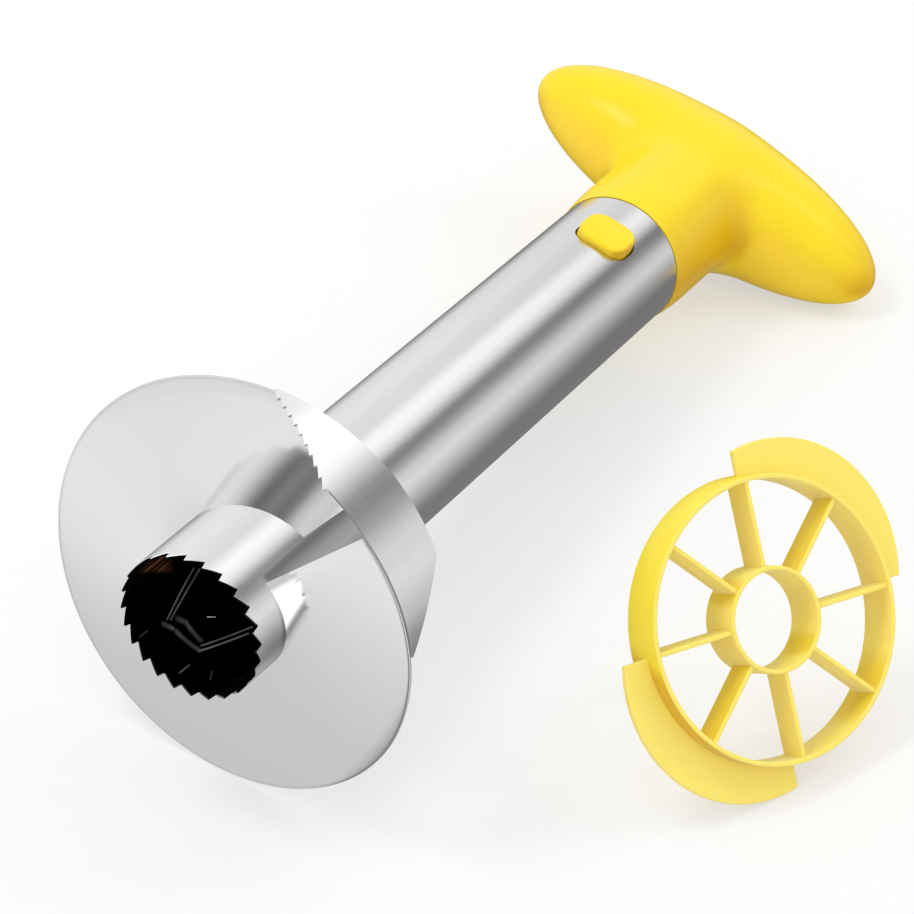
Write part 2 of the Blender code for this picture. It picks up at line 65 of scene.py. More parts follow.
# Where the wedge ring stands: the middle of its front face, and the way that face looks
RING_ORIGIN = Vector((0.060798, -0.046973, 0.032402))
RING_FACING = Vector((0.759038, -0.337017, 0.557028)).normalized()
RING_SPIN = radians(-143)

# How far a skin reaches into its neighbour, and the angle from which an edge stays sharp
SKIN_OVERLAP = 0.0001
SHARP_ANGLE = radians(35)

# Tube
TUBE_RADIUS = 0.01625
TUBE_WALL = 0.0006
TUBE_END = 0.1838
TUBE_ROWS = (0.02, 0.08, 0.14)
TUBE_SKIN = 0.0001
MOUTH_Z = -0.0066
TOOTH_COUNT = 24
TOOTH_DEPTH = 0.002
PAST_ROOTS_SHARE = 1.1
TOOTH_TURN_SHARE = 0.46
TOOTH_BACK_STEPS = 10
FLANK_SHARE = 0.12

# Spiral blade; its section runs from the tube to the rim as radius and share of the thickness
BLADE_RADIUS = 0.04498
SHEET = 0.0006
LEAD_ANGLE = radians(31.5)
SLIT_ANGLE = radians(7)
LEAD_Z = 0.0022
BLADE_RISE = 0.0165
BLADE_STEPS = 320
GRIND_LENGTH = 0.0022
GRIND_EDGE_SHARE = 0.15
BLADE_SECTION = [
    (TUBE_RADIUS - SKIN_OVERLAP, 1),
    (0.0175, 1),
    (0.02, 1),
    (0.024, 1),
    (0.03, 1),
    (0.036, 1),
    (0.041, 1),
    (0.0444, 1),
    (0.0448, 0.9),
    (0.04494, 0.7),
    (BLADE_RADIUS, 0.35),
]

# Toothed wall on the blade's rim
WALL_START = radians(-12)
WALL_TEETH_END = radians(16.5)
WALL_BACK_END = radians(47)
WALL_END = radians(66)
WALL_TEETH = 10
WALL_TOOTH_DEPTH = 0.001
WALL_TOOTH_STEPS = 4
WALL_PLAIN_STEPS = 60
WALL_LIP = 0.0001
WALL_OUTER = 0.04572
WALL_LEAST_HEIGHT = 0.0002
WALL_INNER_SLOPE = 0.0006
WALL_EDGE = 0.0002
WALL_CHAMFER = 0.00008
WALL_BACK_SLOPE = 0.00001

# Handle: its bar and stem meet at its origin
STEM_RADIUS = 0.0172
STEM_LENGTH = 0.0483
STEM_TOP_DROP = 0.008
STEM_BLEND = 0.008
BAR_Z = 0.2261
BAR_RADIUS = 0.01699
BAR_HALF = 0.04967
HANDLE_COUNT = 128
HANDLE_ROWS = 84
HANDLE_HALVINGS = 22
CROWN_START = radians(118)
CROWN_END = radians(157)
COLLAR_STEP = 0.0002
COLLAR_TAPER = 0.01
COLLAR_LIFTS = (0, 0.0001, 0.001, 0.002, 0.003)
COLLAR_BORE = TUBE_RADIUS + 0.00002
COLLAR_BORE_EDGE = 0.00005
COLLAR_BORE_EDGE_DEPTH = 0.0002
STEM_BORE_STEP = 0.0009
STEM_BORE_DEPTH = 0.022
TUBE_SEAT_DEPTH = 0.0063
CAP_RECESS_RADIUS = 0.0063
CAP_RECESS_DEPTH = 0.0033

# Buttons and their windows
BUTTON_Z = 0.161
BUTTON_LENGTH = 0.0118
BUTTON_WIDTH = 0.0126
BUTTON_CORNER = 0.0044
BUTTON_TOP = 0.01785
BUTTON_EDGE = 0.0009
BUTTON_EDGE_STEPS = 5
BUTTON_CROWN = 0.0001
CROWN_RINGS = ((0.00003, 0.0022), (0, 0.0038))
FLANGE_TOP = 0.0108
FLANGE_THICKNESS = 0.0015
FLANGE_MARGIN = 0.0011
WINDOW_GAP = 0.0005
WINDOW_ROW_REACH = 0.0072
CUTTER_REACH = TUBE_RADIUS * 1.2

# Wedge ring, with its front face at height 0
RING_RADIUS = 0.0302
RING_DEPTH = 0.0098
RING_WALL = 0.00105
HUB_RADIUS = 0.0112
HUB_WALL = 0.00095
BAND_COUNT = 160
BAND_CORNER = 0.00028
SPOKE_COUNT = 8
SPOKE_WIDTH = 0.001
SPOKE_FRONT = -0.0006
SPOKE_BACK = -0.0074
SPOKE_CORNER = 0.00025
SECTION_CORNER_STEPS = 3
GRIP_REACH = 0.00917
GRIP_ARC = 0.029
GRIP_PLATE = 0.0014
GRIP_HALF_ANGLE = radians(44)
GRIP_STEPS = 48
GRIP_EDGE = 0.0003
GRIP_EDGE_SEGMENTS = 3
GRIP_EDGE_ANGLE = radians(40)

# The camera that was fitted to the photograph
TARGET = Vector((-0.044762, 0.004537, 0))
CAMERA_DISTANCE = 0.78759
CAMERA_ELEVATION = radians(37.46)
CAMERA_TURN = radians(29.91)
CAMERA_LENS = 132.43
CAMERA_SENSOR = 36
CAMERA_CLIP_END = 20

# Paper on which it all lies, a little below the lowest edge
FLOOR_HALF = 3.0
FLOOR_DROP = 0.0002


def turned_axes(x_way, y_way, z_way, origin):
    return Matrix.Translation(origin) @ Matrix((x_way, y_way, z_way)).transposed().to_4x4()


def ring_place():
    level = Vector((0, 0, 1)).cross(RING_FACING).normalized()
    high = RING_FACING.cross(level)
    return turned_axes(level, high, RING_FACING, RING_ORIGIN) @ Matrix.Rotation(RING_SPIN, 4, "Z")


TOOL_PLACE = turned_axes(BUTTON_WAY, BAR_WAY, TOOL_AXIS, TOOL_ORIGIN)
RING_PLACE = ring_place()


def loft(name, loops, closed_tube=False):
    """A closed solid through loops of equal count: capped at both ends, or joined end to end."""
    shape = bmesh.new()
    rings = [[shape.verts.new(point) for point in loop] for loop in loops]
    count = len(rings[0])
    pairs = list(zip(rings, rings[1:]))
    if closed_tube:
        pairs.append((rings[-1], rings[0]))
    for low, high in pairs:
        for i in range(count):
            j = (i + 1) % count
            shape.faces.new((low[i], low[j], high[j], high[i]))
    if not closed_tube:
        shape.faces.new(rings[0])
        shape.faces.new(rings[-1])
    bmesh.ops.recalc_face_normals(shape, faces=shape.faces)
    mesh = bpy.data.meshes.new(name)
    shape.to_mesh(mesh)
    shape.free()
    return mesh


def linked(name, data):
    """A new object in the scene."""
    made = bpy.data.objects.new(name, data)
    bpy.context.scene.collection.objects.link(made)
    return made


def piece(name, mesh, place, material, body, *nodes):
    """A finished mesh that rides on a body and stands for CAD nodes."""
    mesh.transform(place)
    mesh.materials.clear()
    mesh.materials.append(material)
    mesh.shade_smooth()
    mesh.set_sharp_from_angle(angle=SHARP_ANGLE)
    made = linked(name, mesh)
    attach(made, body)
    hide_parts(*nodes)
    return made


def round_grip_edges(made):
    bevel = made.modifiers.new("soft_edges", "BEVEL")
    bevel.width = GRIP_EDGE
    bevel.segments = GRIP_EDGE_SEGMENTS
    bevel.limit_method = "ANGLE"
    bevel.angle_limit = GRIP_EDGE_ANGLE
    bevel.harden_normals = True


def circle(radius, height, count):
    turns = (2 * pi * i / count for i in range(count))
    return [Vector((radius * cos(turn), radius * sin(turn), height)) for turn in turns]


def rounded_rectangle(length, width, corner, steps=8):
    """Corner points as (along, across) pairs, counterclockwise."""
    centres = [
        (length / 2 - corner, width / 2 - corner),
        (corner - length / 2, width / 2 - corner),
        (corner - length / 2, corner - width / 2),
        (length / 2 - corner, corner - width / 2),
    ]
    points = []
    for quarter, (along, across) in enumerate(centres):
        for step in range(steps + 1):
            turn = (quarter + step / steps) * pi / 2
            points.append((along + corner * cos(turn), across + corner * sin(turn)))
    return points


def mouth_profile():
    """(angle, height) along the saw-toothed mouth, with fine steps for a smooth tube."""
    pitch = 2 * pi / TOOTH_COUNT
    shares = [0.0, FLANK_SHARE / 2]
    shares += [FLANK_SHARE + (1 - FLANK_SHARE) * k / TOOTH_BACK_STEPS for k in range(TOOTH_BACK_STEPS)]
    profile = []
    for tooth in range(TOOTH_COUNT):
        for share in shares:
            if share < FLANK_SHARE:
                depth = 1 - share / FLANK_SHARE
            else:
                depth = (share - FLANK_SHARE) / (1 - FLANK_SHARE)
            angle = pitch * (tooth + share + TOOTH_TURN_SHARE)
            profile.append((angle, MOUTH_Z + TOOTH_DEPTH * depth))
    return profile


def tube_loops():
    """The outside from the mouth to the hidden end, then the bore back to the mouth."""
    profile = mouth_profile()

    def loop(radius, height=None):
        return [
            Vector((radius * cos(turn), radius * sin(turn), z if height is None else height))
            for turn, z in profile
        ]

    past_roots = MOUTH_Z + TOOTH_DEPTH * PAST_ROOTS_SHARE
    window_start = BUTTON_Z - WINDOW_ROW_REACH
    window_end = BUTTON_Z + WINDOW_ROW_REACH
    outer_rows = [past_roots, *TUBE_ROWS, window_start, BUTTON_Z, window_end, TUBE_END]
    bore_rows = [TUBE_END, window_end, TUBE_ROWS[-1]]
    bore = TUBE_RADIUS - TUBE_WALL
    loops = [loop(TUBE_RADIUS)]
    loops += [loop(TUBE_RADIUS, z) for z in outer_rows]
    loops += [loop(bore, z) for z in bore_rows]
    loops.append(loop(bore))
    return loops


def window_bar():
    """A bar across the tube that cuts both button windows."""
    length = BUTTON_LENGTH + 2 * WINDOW_GAP
    width = BUTTON_WIDTH + 2 * WINDOW_GAP
    outline = rounded_rectangle(length, width, BUTTON_CORNER + WINDOW_GAP)
    loops = []
    for x in (-CUTTER_REACH, CUTTER_REACH):
        loops.append([Vector((x, across, BUTTON_Z + along)) for along, across in outline])
    return loft("window_bar", loops)


def tube_mesh():
    tube = linked("tube_blank", loft("tube_blank", tube_loops(), closed_tube=True))
    cutter = linked("window_cutter", window_bar())
    cut = tube.modifiers.new("windows", "BOOLEAN")
    cut.solver = "EXACT"
    cut.object = cutter
    graph = bpy.context.evaluated_depsgraph_get()
    mesh = bpy.data.meshes.new_from_object(tube.evaluated_get(graph))
    bpy.data.objects.remove(tube)
    bpy.data.objects.remove(cutter)
    return mesh


def sheet_z(angle):
    """Front face of the spiral sheet, counted on from its leading edge."""
    return LEAD_Z + BLADE_RISE * (angle - LEAD_ANGLE) / (2 * pi - SLIT_ANGLE)


def blade_mesh():
    """The spiral sheet with a ground leading edge and a slightly rounded rim."""
    loops = []
    for step in range(BLADE_STEPS + 1):
        turned = (2 * pi - SLIT_ANGLE) * step / BLADE_STEPS
        angle = LEAD_ANGLE + turned
        middle = sheet_z(angle) + SHEET / 2
        side = Vector((cos(angle), sin(angle), 0))
        front, back = [], []
        for radius, share in BLADE_SECTION:
            ground = min(1.0, GRIND_EDGE_SHARE + radius * turned / GRIND_LENGTH)
            half = SHEET / 2 * share * ground
            front.append(side * radius + Vector((0, 0, middle - half)))
            back.append(side * radius + Vector((0, 0, middle + half)))
        loops.append(front + back[::-1])
    return loft("blade", loops)


def wall_back(angle):
    """Height of the wall's back edge: on the blade's tail, level beyond it, then down to the sheet."""
    tail_end = LEAD_ANGLE - SLIT_ANGLE
    if angle < tail_end:
        return sheet_z(2 * pi + angle) + SHEET / 2
    top = sheet_z(2 * pi + tail_end) + SHEET / 2
    if angle < WALL_BACK_END:
        return top
    share = (angle - WALL_BACK_END) / (WALL_END - WALL_BACK_END)
    return top + (sheet_z(WALL_END) + SHEET / 2 - top) * share


def toothed_rows():
    """(angle, front, back) over the wall's teeth, in fine steps."""
    span = (WALL_TEETH_END - WALL_START) / WALL_TEETH
    start = sheet_z(2 * pi + WALL_START) - SHEET / 2
    end = LEAD_Z - WALL_LIP
    rows = []
    for tooth in range(WALL_TEETH):
        root_share = tooth / WALL_TEETH
        tip_share = (tooth + 1 - FLANK_SHARE) / WALL_TEETH
        root = start + (end - start) * root_share
        tip = start + (end - start) * tip_share - WALL_TOOTH_DEPTH
        for step in range(WALL_TOOTH_STEPS + 1):
            share = step / WALL_TOOTH_STEPS
            angle = WALL_START + span * (tooth + (1 - FLANK_SHARE) * share)
            rows.append((angle, root + (tip - root) * share, wall_back(angle)))
    return rows


def plain_rows():
    """(angle, front, back) from the last tooth to the wall's low end."""
    rows = []
    for step in range(WALL_PLAIN_STEPS + 1):
        angle = WALL_TEETH_END + (WALL_END - WALL_TEETH_END) * step / WALL_PLAIN_STEPS
        front = max(LEAD_Z, sheet_z(angle)) - WALL_LIP
        rows.append((angle, front, wall_back(angle)))
    return rows


def wall_mesh():
    """The upright wall, its front edge sloped on the inside and chamfered on the outside."""
    inner = BLADE_RADIUS - SKIN_OVERLAP
    loops = []
    for angle, front, back in toothed_rows() + plain_rows():
        back = max(back, front + WALL_LEAST_HEIGHT)
        corners = (
            (inner, min(front + WALL_INNER_SLOPE, back)),
            (WALL_OUTER - WALL_EDGE, front),
            (WALL_OUTER, front + WALL_CHAMFER),
            (WALL_OUTER, back),
            (inner, back + WALL_BACK_SLOPE),
        )
        side = Vector((cos(angle), sin(angle), 0))
        loops.append([side * radius + Vector((0, 0, z)) for radius, z in corners])
    return loft("rim_wall", loops)


def bar_distance(point):
    """About how far a point is from the bar, an ellipsoid along Y."""
    scaled = Vector((point.x / BAR_RADIUS, point.y / BAR_HALF, point.z / BAR_RADIUS))
    slope = Vector((point.x / BAR_RADIUS**2, point.y / BAR_HALF**2, point.z / BAR_RADIUS**2))
    return scaled.length * (scaled.length - 1) / slope.length


def handle_distance(point):
    """About how far a point is from the bar and the stem, joined by a soft fillet."""
    bar = bar_distance(point)
    above = max(point.z + STEM_TOP_DROP, 0.0)
    stem = sqrt(point.x**2 + point.y**2 + above**2) - STEM_RADIUS
    blend = max(STEM_BLEND - abs(bar - stem), 0.0) / STEM_BLEND
    return min(bar, stem) - STEM_BLEND * blend * blend / 4


def handle_point(direction):
    """Where the handle's surface lies in a direction from its origin."""
    low = BAR_RADIUS / 2
    high = BAR_HALF * 2
    for _ in range(HANDLE_HALVINGS):
        middle = (low + high) / 2
        if handle_distance(direction * middle) < 0:
            low = middle
        else:
            high = middle
    return direction * low


def collar_radius(lift):
    """The collar meets the steel almost flush and fills out to the stem above."""
    share = max(1 - lift / COLLAR_TAPER, 0.0) ** 2
    return STEM_RADIUS - (STEM_RADIUS - TUBE_RADIUS - COLLAR_STEP) * share


def flush_to_tube(point):
    shrink = STEM_RADIUS - collar_radius(point.z + STEM_LENGTH)
    outwards = sqrt(point.x**2 + point.y**2)
    return Vector((point.x, point.y, 0)) * (1 - shrink / outwards) + Vector((0, 0, point.z))


def collar_loops():
    """The bore from its floor out to the collar's mouth, then the first of the outside."""
    narrow = COLLAR_BORE - STEM_BORE_STEP
    bore = [
        (narrow, STEM_BORE_DEPTH),
        (narrow, TUBE_SEAT_DEPTH),
        (COLLAR_BORE, TUBE_SEAT_DEPTH),
        (COLLAR_BORE, COLLAR_BORE_EDGE_DEPTH),
        (COLLAR_BORE + COLLAR_BORE_EDGE, 0),
    ]
    outside = [(collar_radius(lift), lift) for lift in COLLAR_LIFTS]
    return [circle(radius, lift - STEM_LENGTH, HANDLE_COUNT) for radius, lift in bore + outside]


def stem_and_bar_loops():
    """Rings from the stem over the bar, drawn out along the bar where it is long."""
    start = atan2(STEM_RADIUS, STEM_LENGTH)
    loops = []
    for row in range(1, HANDLE_ROWS + 1):
        tilt = start + (CROWN_END - start) * row / HANDLE_ROWS
        rise = min((tilt - start) / (pi / 2 - start), 1.0)
        fall = 1 - max(tilt - CROWN_START, 0) / (CROWN_END - CROWN_START)
        stretch = 1 + (BAR_HALF / BAR_RADIUS - 1) * min(rise, fall)
        loop = []
        for step in range(HANDLE_COUNT):
            turn = 2 * pi * step / HANDLE_COUNT
            way = Vector((sin(tilt) * cos(turn), stretch * sin(tilt) * sin(turn), -cos(tilt)))
            loop.append(flush_to_tube(handle_point(way.normalized())))
        loops.append(loop)
    return loops


def recess_loops():
    """The lip of the screw cap's recess on the bar's back, and the recess's floor."""
    lip = []
    for point in circle(CAP_RECESS_RADIUS, 0, HANDLE_COUNT):
        height = BAR_RADIUS * sqrt(1 - (point.x / BAR_RADIUS) ** 2 - (point.y / BAR_HALF) ** 2)
        lip.append(Vector((point.x, point.y, height)))
    return [lip, circle(CAP_RECESS_RADIUS, BAR_RADIUS - CAP_RECESS_DEPTH, HANDLE_COUNT)]


def handle_mesh():
    """Collar bore, collar, stem and bar in one skin, with the recess for the screw cap."""
    return loft("handle", collar_loops() + stem_and_bar_loops() + recess_loops())


def button_ring(x, margin):
    """The button's outline with a margin round it; X points out of the tube."""
    length = BUTTON_LENGTH + 2 * margin
    width = BUTTON_WIDTH + 2 * margin
    outline = rounded_rectangle(length, width, BUTTON_CORNER + margin)
    return [Vector((x, across, along)) for along, across in outline]


def button_mesh():
    """A head with a soft crown on its hidden flange."""
    loops = [
        button_ring(FLANGE_TOP - FLANGE_THICKNESS, FLANGE_MARGIN),
        button_ring(FLANGE_TOP, FLANGE_MARGIN),
        button_ring(FLANGE_TOP, 0),
    ]
    for step in range(BUTTON_EDGE_STEPS + 1):
        lift = pi / 2 * step / BUTTON_EDGE_STEPS
        height = BUTTON_TOP - BUTTON_EDGE - BUTTON_CROWN + BUTTON_EDGE * sin(lift)
        loops.append(button_ring(height, BUTTON_EDGE * (cos(lift) - 1)))
    for drop, inset in CROWN_RINGS:
        loops.append(button_ring(BUTTON_TOP - drop, -inset))
    return loft("button", loops)


def rounded_section(low_r, high_r, low_z, high_z, corner):
    """A rectangle with rounded corners as (r, z) pairs."""
    points = rounded_rectangle(high_r - low_r, high_z - low_z, corner, SECTION_CORNER_STEPS)
    return [(r + (low_r + high_r) / 2, z + (low_z + high_z) / 2) for r, z in points]


def band_mesh(name, outer, wall):
    section = rounded_section(outer - wall, outer, -RING_DEPTH, 0, BAND_CORNER)
    return loft(name, [circle(r, z, BAND_COUNT) for r, z in section], closed_tube=True)


def spoke_mesh(name):
    near = HUB_RADIUS - HUB_WALL / 2
    far = RING_RADIUS - RING_WALL / 2
    section = rounded_section(-SPOKE_WIDTH / 2, SPOKE_WIDTH / 2, SPOKE_BACK, SPOKE_FRONT, SPOKE_CORNER)
    return loft(name, [[Vector((x, y, z)) for y, z in section] for x in (near, far)])


def grip_mesh(name):
    """A flat plate between the rim and an arc whose middle lies off the ring's axis."""
    inner = RING_RADIUS - RING_WALL / 2
    offset = RING_RADIUS + GRIP_REACH - GRIP_ARC
    inside, outside = [], []
    for step in range(GRIP_STEPS + 1):
        angle = GRIP_HALF_ANGLE * (2 * step / GRIP_STEPS - 1)
        inside.append((inner * cos(angle), inner * sin(angle)))
        reach = offset * cos(angle) + sqrt(GRIP_ARC**2 - (offset * sin(angle)) ** 2)
        outside.append((reach * cos(angle), reach * sin(angle)))
    outline = outside + inside[::-1]
    middle = -RING_DEPTH / 2
    faces = (middle - GRIP_PLATE / 2, middle + GRIP_PLATE / 2)
    return loft(name, [[Vector((x, y, z)) for x, y in outline] for z in faces])


def add_corer(tube, blade, wall, yellow):
    piece("tube_skin", tube_mesh(), TOOL_PLACE, tube, "corer", "core_tube")
    piece("blade_skin", blade_mesh(), TOOL_PLACE, blade, "corer", "spiral_blade")
    piece("wall_skin", wall_mesh(), TOOL_PLACE, wall, "corer", "rim_blade")
    raised = TOOL_PLACE @ Matrix.Translation((0, 0, BAR_Z))
    piece("handle_skin", handle_mesh(), raised, yellow, "corer", "handle_body")
    beside = TOOL_PLACE @ Matrix.Translation((0, 0, BUTTON_Z))
    for side, turn in (("top", 0), ("bottom", pi)):
        body = f"button_{side}"
        place = beside @ Matrix.Rotation(turn, 4, "Z")
        piece(f"{body}_skin", button_mesh(), place, yellow, body, f"release_button_{side}")


def add_wedge_ring(yellow):
    rim = band_mesh("rim", RING_RADIUS, RING_WALL)
    piece("ring_rim_skin", rim, RING_PLACE, yellow, "wedge_ring", "wedge_rim")
    hub = band_mesh("hub", HUB_RADIUS, HUB_WALL)
    piece("ring_hub_skin", hub, RING_PLACE, yellow, "wedge_ring", "wedge_hub")
    for index in range(SPOKE_COUNT):
        name = f"wedge_spoke_{index + 1}"
        place = RING_PLACE @ Matrix.Rotation(2 * pi * index / SPOKE_COUNT, 4, "Z")
        piece(name + "_skin", spoke_mesh(name), place, yellow, "wedge_ring", name)
    for name, turn in (("wedge_grip_low", 0), ("wedge_grip_high", pi)):
        place = RING_PLACE @ Matrix.Rotation(turn, 4, "Z")
        made = piece(name + "_skin", grip_mesh(name), place, yellow, "wedge_ring", name)
        round_grip_edges(made)


def keep_out_of_reflections():
    """The photograph's steel shows no wedge ring, and its tube shines as if no blade stood by."""
    for made in bpy.data.objects:
        if made.name.startswith(("ring_", "wedge_", "blade_skin", "wall_skin")):
            made.visible_glossy = False


BLACK = (0, 0, 0, 1)
WHITE = (1, 1, 1, 1)


def grey(level):
    return (level, level, level, 1)


class Nodes:
    """A short way to write a node tree."""

    def __init__(self, tree):
        self.tree = tree

    def add(self, kind, **settings):
        node = self.tree.nodes.new(kind)
        for name, value in settings.items():
            setattr(node, name, value)
        return node

    def link(self, source, target):
        self.tree.links.new(source, target)

    def feed(self, socket, value):
        if isinstance(value, bpy.types.NodeSocket):
            self.link(value, socket)
        else:
            socket.default_value = value

    def here(self):
        """Place on the piece, which stays put when the piece moves."""
        return self.add("ShaderNodeTexCoord").outputs["Object"]

    def normal(self):
        return self.add("ShaderNodeNewGeometry").outputs["Normal"]

    def math(self, operation, *values):
        node = self.add("ShaderNodeMath", operation=operation)
        for socket, value in zip(node.inputs, values):
            self.feed(socket, value)
        return node.outputs[0]

    def product(self, first, *others):
        for other in others:
            first = self.math("MULTIPLY", first, other)
        return first

    def inverse(self, share):
        return self.math("SUBTRACT", 1.0, share)

    def vector(self, operation, *values):
        node = self.add("ShaderNodeVectorMath", operation=operation)
        for socket, value in zip(node.inputs, values):
            self.feed(socket, value)
        return node.outputs["Value" if operation in {"DOT_PRODUCT", "LENGTH"} else "Vector"]

    def part(self, vector, way):
        """How far a vector reaches in a direction."""
        return self.vector("DOT_PRODUCT", vector, Vector(way))

    def spread(self, value, low, high, to_low=0.0, to_high=1.0):
        """A soft step over low to high; it runs downwards where low is the larger."""
        node = self.add("ShaderNodeMapRange", interpolation_type="SMOOTHSTEP")
        for socket, given in zip(node.inputs, (value, low, high, to_low, to_high)):
            self.feed(socket, given)
        return node.outputs[0]

    def ramp(self, value, stops):
        node = self.add("ShaderNodeValToRGB")
        elements = node.color_ramp.elements
        while len(elements) < len(stops):
            elements.new(0.5)
        for element, (place, colour) in zip(elements, stops):
            element.position = place
            element.color = colour
        self.link(value, node.inputs[0])
        return node.outputs[0]

    def levels(self, value, stops):
        """A ramp of greys."""
        return self.ramp(value, [(place, grey(level)) for place, level in stops])

    def mix(self, share, first, second, blend="MIX"):
        node = self.add("ShaderNodeMix", data_type="RGBA", blend_type=blend)
        colours = [socket for socket in node.inputs if socket.type == "RGBA"]
        self.feed(node.inputs[0], share)
        self.feed(colours[0], first)
        self.feed(colours[1], second)
        return next(socket for socket in node.outputs if socket.type == "RGBA")

    def tinted(self, colour, tint):
        return self.mix(1.0, colour, tint, "MULTIPLY")

    def noise(self, vector, scale, detail=2.0):
        node = self.add("ShaderNodeTexNoise")
        self.link(vector, node.inputs["Vector"])
        node.inputs["Scale"].default_value = scale
        node.inputs["Detail"].default_value = detail
        return node.outputs["Fac"]

    def bump(self, height, strength, distance):
        node = self.add("ShaderNodeBump")
        node.inputs["Strength"].default_value = strength
        node.inputs["Distance"].default_value = distance
        self.link(height, node.inputs["Height"])
        return node.outputs[0]

    def stretched(self, vector, scale):
        node = self.add("ShaderNodeMapping")
        node.inputs["Scale"].default_value = scale
        self.link(vector, node.inputs["Vector"])
        return node.outputs[0]

    def combined(self, *parts):
        node = self.add("ShaderNodeCombineXYZ")
        for socket, part in zip(node.inputs, parts):
            self.link(part, socket)
        return node.outputs[0]


def new_material(name):
    material = bpy.data.materials.new(name)
    material.use_nodes = True
    nodes = Nodes(material.node_tree)
    shader = material.node_tree.nodes["Principled BSDF"]
    return material, nodes, shader


def new_steel(name):
    """A steel with coordinates that lie along the corer: x to the side, z along its axis."""
    material, nodes, shader = new_material(name)
    shader.inputs["Metallic"].default_value = 1.0
    turn = nodes.add("ShaderNodeMapping")
    turn.inputs["Rotation"].default_value = (TOOL_TILT + radians(90), 0, 0)
    nodes.link(nodes.vector("SUBTRACT", nodes.here(), TOOL_ORIGIN), turn.inputs["Vector"])
    return material, nodes, shader, turn.outputs[0]


def from_axis(nodes, place):
    return nodes.vector("LENGTH", nodes.stretched(place, (1, 1, 0)))


def tool_turn(nodes, place, side=1):
    """Angle round the corer's axis, from its visible button, or from the far side where side is -1."""
    x_way = nodes.part(place, Vector((sin(TOOL_ROLL), -cos(TOOL_ROLL), 0)) * side)
    y_way = nodes.part(place, Vector((cos(TOOL_ROLL), sin(TOOL_ROLL), 0)) * side)
    return nodes.math("ARCTAN2", y_way, x_way)


def between_turns(nodes, turn, first, last):
    """1 between two angles; each is (its outer, its inner end) of a soft edge, in degrees."""
    opening = nodes.spread(turn, radians(first[0]), radians(first[1]))
    closing = nodes.spread(turn, radians(last[0]), radians(last[1]))
    return nodes.product(opening, closing)


def steel_grain(nodes, shader, lines, roughness, strength):
    """Fine drawn lines that vary the gloss a little and lift the surface very slightly."""
    line_share = 0.6
    smudge_scale = 38.0
    grain = nodes.noise(lines, scale=1.0, detail=3.0)
    smudge = nodes.noise(nodes.here(), smudge_scale)
    drawn = nodes.product(grain, line_share)
    mixed = nodes.math("ADD", drawn, nodes.product(smudge, 1 - line_share))
    nodes.link(nodes.spread(mixed, 0.25, 0.75, *roughness), shader.inputs["Roughness"])
    nodes.link(nodes.bump(grain, strength, distance=0.00001), shader.inputs["Normal"])
    return grain


# Painted glints, reflections that glow in the bore: two ends as (degrees from the far side, height),
# half width, brightness
GLINTS = [
    ((54, 0.0181), (36, 0.0050), 0.00016, 0.09),
    ((50, 0.0198), (34, 0.0058), 0.00016, 0.08),
    ((35, 0.0035), (28, 0.0050), 0.00045, 0.05),
    ((24, 0.0053), (3, 0.0060), 0.00050, 0.048),
    ((31, 0.0076), (25, 0.0089), 0.00055, 0.035),
    ((25, 0.0089), (8, 0.0084), 0.00048, 0.048),
    ((2, 0.0057), (-14, 0.0176), 0.00019, 0.11),
    ((4, 0.0074), (-12, 0.0200), 0.00017, 0.09),
    ((17.5, 0.0145), (13.6, 0.0161), 0.00010, 0.40),
    ((39.5, -0.0040), (39.2, -0.0014), 0.00016, 0.03),
    ((-0.7, -0.0025), (-1.2, 0.0010), 0.00018, 0.06),
    ((-17.5, 0.0025), (-23, -0.0002), 0.00018, 0.03),
]
GLINT_CORE = 0.3
GLINT_BLUR = 1.8


def segment_distance(nodes, point, start, end):
    """Distance from a glint's middle line on the unrolled bore."""
    first = Vector((radians(start[0]) * TUBE_RADIUS, start[1], 0))
    run = Vector((radians(end[0]) * TUBE_RADIUS, end[1], 0)) - first
    offset = nodes.vector("SUBTRACT", point, first)
    share = nodes.math("DIVIDE", nodes.vector("DOT_PRODUCT", offset, run), run.length_squared)
    share = nodes.math("MAXIMUM", nodes.math("MINIMUM", share, 1.0), 0.0)
    reach = nodes.combined(*[nodes.product(share, part) for part in run])
    return nodes.vector("LENGTH", nodes.vector("SUBTRACT", offset, reach))


def glint_lines(nodes, place, along, turn):
    """Brightness of the painted glints, thin lines and flecks, a little uneven along their length."""
    patch_scale = 240.0
    unrolled = nodes.combined(nodes.product(turn, TUBE_RADIUS), along)
    line = 0.0
    for start, end, half_width, brightness in GLINTS:
        distance = segment_distance(nodes, unrolled, start, end)
        core = GLINT_CORE * half_width
        blur = GLINT_BLUR * half_width
        line = nodes.math("MAXIMUM", line, nodes.spread(distance, core, blur, brightness, 0.0))
    patches = nodes.noise(place, patch_scale, detail=1.0)
    return nodes.product(line, nodes.spread(patches, 0.35, 0.65, to_low=0.6))


def brown_sheen(nodes, along, turn, grain):
    """Share of the streaky sheen behind the mouth's upper teeth."""
    slant_per_metre = radians(2150)
    slanted = nodes.math("ADD", turn, nodes.product(along, slant_per_metre))
    streaks = nodes.spread(grain, 0.42, 0.62)
    low_side = nodes.spread(slanted, radians(86), radians(91))
    high_side = nodes.spread(turn, radians(97), radians(91))
    inner_end = nodes.spread(along, 0.0125, 0.006)
    return nodes.product(low_side, streaks, high_side, inner_end)


def bore_glints(nodes, place, along, grain):
    """What the bore shows as painted reflections that glow: lines, flecks and a brown sheen."""
    turn = tool_turn(nodes, place, side=-1)
    sheen = brown_sheen(nodes, along, turn, grain)
    lines = nodes.mix(glint_lines(nodes, place, along, turn), BLACK, WHITE)
    return nodes.mix(sheen, lines, (0.07, 0.028, 0.011, 1))


